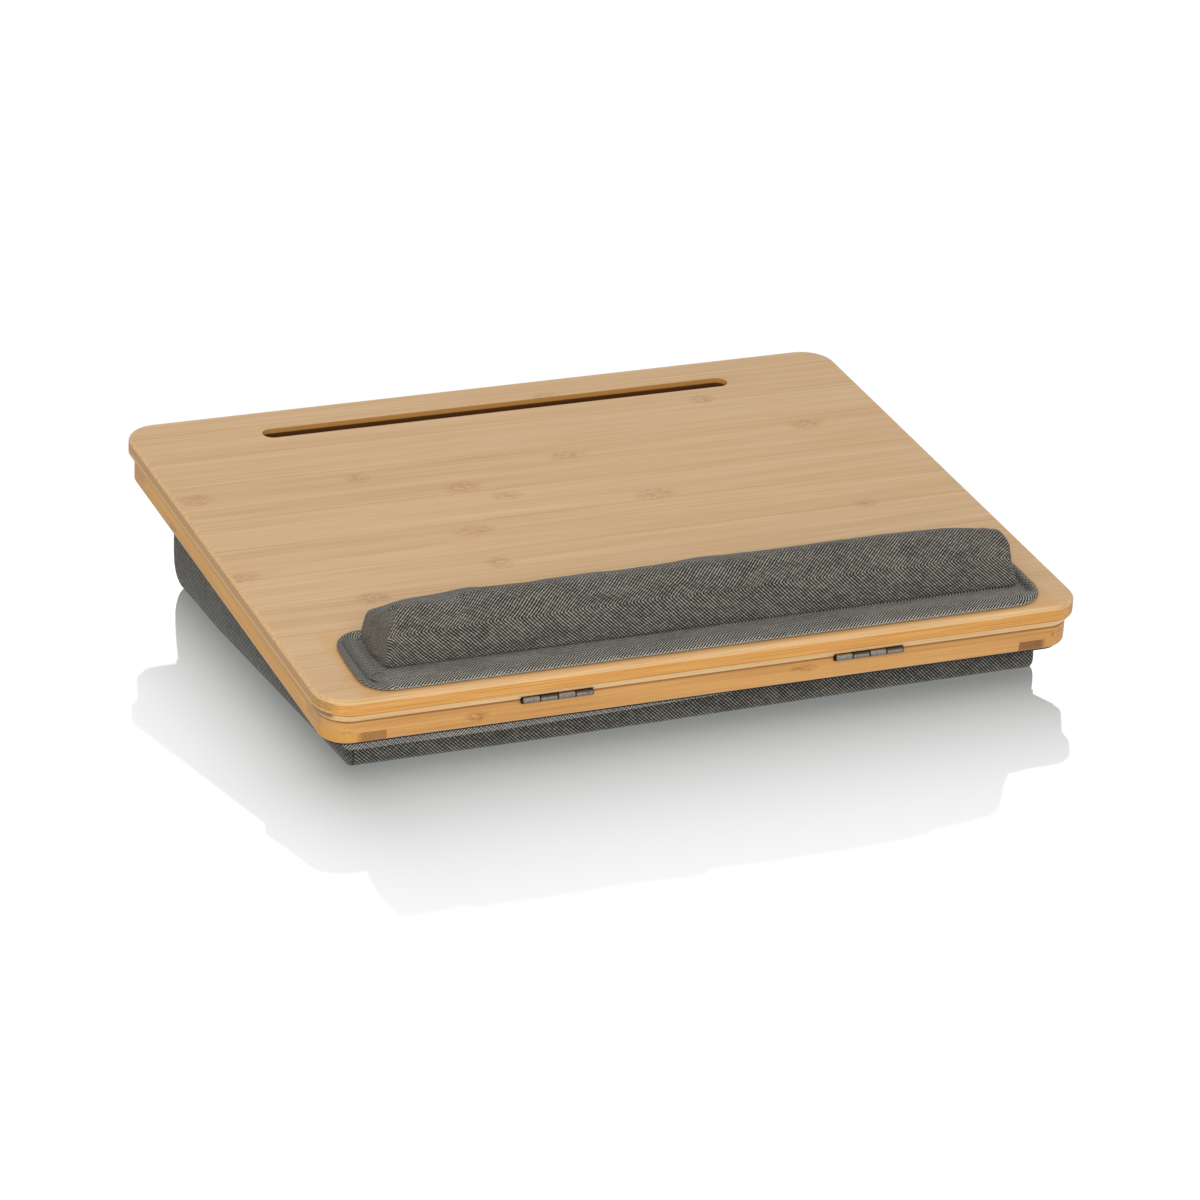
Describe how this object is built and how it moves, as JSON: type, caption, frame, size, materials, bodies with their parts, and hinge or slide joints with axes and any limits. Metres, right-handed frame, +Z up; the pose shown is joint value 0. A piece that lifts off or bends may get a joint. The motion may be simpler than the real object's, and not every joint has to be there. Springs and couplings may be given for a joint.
{
  "type": "lap desk with lift lid",
  "caption": "Tilted bamboo lap desk: a hinged writing lid with a tablet slot and padded wrist rest, over a shallow storage tray on a wedge cushion.",
  "frame": {"origin": "middle of the bounding box's base, on the surface that the cushion rests on", "axes": "+X along the hinge line to the user's right, +Y from the hinged front edge to the rear, +Z up"},
  "size_m": [0.44, 0.3532, 0.0894],
  "materials": {
    "bamboo_lid": "satin",
    "bamboo_tray": "satin",
    "hinge_steel": "satin",
    "pad_fabric": "matt",
    "binding_fabric": "matt",
    "cushion_fabric": "matt",
    "floor_fabric": "matt",
    "foam": "matt",
    "filling": "matt"
  },
  "bodies": {
    "tray": {"tray_front_rail": "bamboo_tray", "tray_rear_rail": "bamboo_tray", "tray_left_rail": "bamboo_tray", "tray_right_rail": "bamboo_tray", "tray_floor": "floor_fabric", "hinge_left_tray_leaf": "hinge_steel", "hinge_left_pin": "hinge_steel", "hinge_left_tray_screws": "hinge_steel", "hinge_right_tray_leaf": "hinge_steel", "hinge_right_pin": "hinge_steel", "hinge_right_tray_screws": "hinge_steel", "cushion_binding": "binding_fabric", "cushion_cover": "cushion_fabric", "cushion_filling": "filling"},
    "lid": {"lid_board": "bamboo_lid", "wrist_rest_base": "binding_fabric", "wrist_rest_binding": "binding_fabric", "wrist_rest_cover": "pad_fabric", "wrist_rest_foam": "foam", "hinge_left_lid_leaf": "hinge_steel", "hinge_left_lid_screws": "hinge_steel", "hinge_right_lid_leaf": "hinge_steel", "hinge_right_lid_screws": "hinge_steel"}
  },
  "joints": [
    {"name": "lid_hinge", "type": "hinge", "parent": "tray", "child": "lid", "pos_m": [0, -0.17277, 0.03245], "axis": [1, 0, 0], "range_deg": [0, 135]}
  ]
}
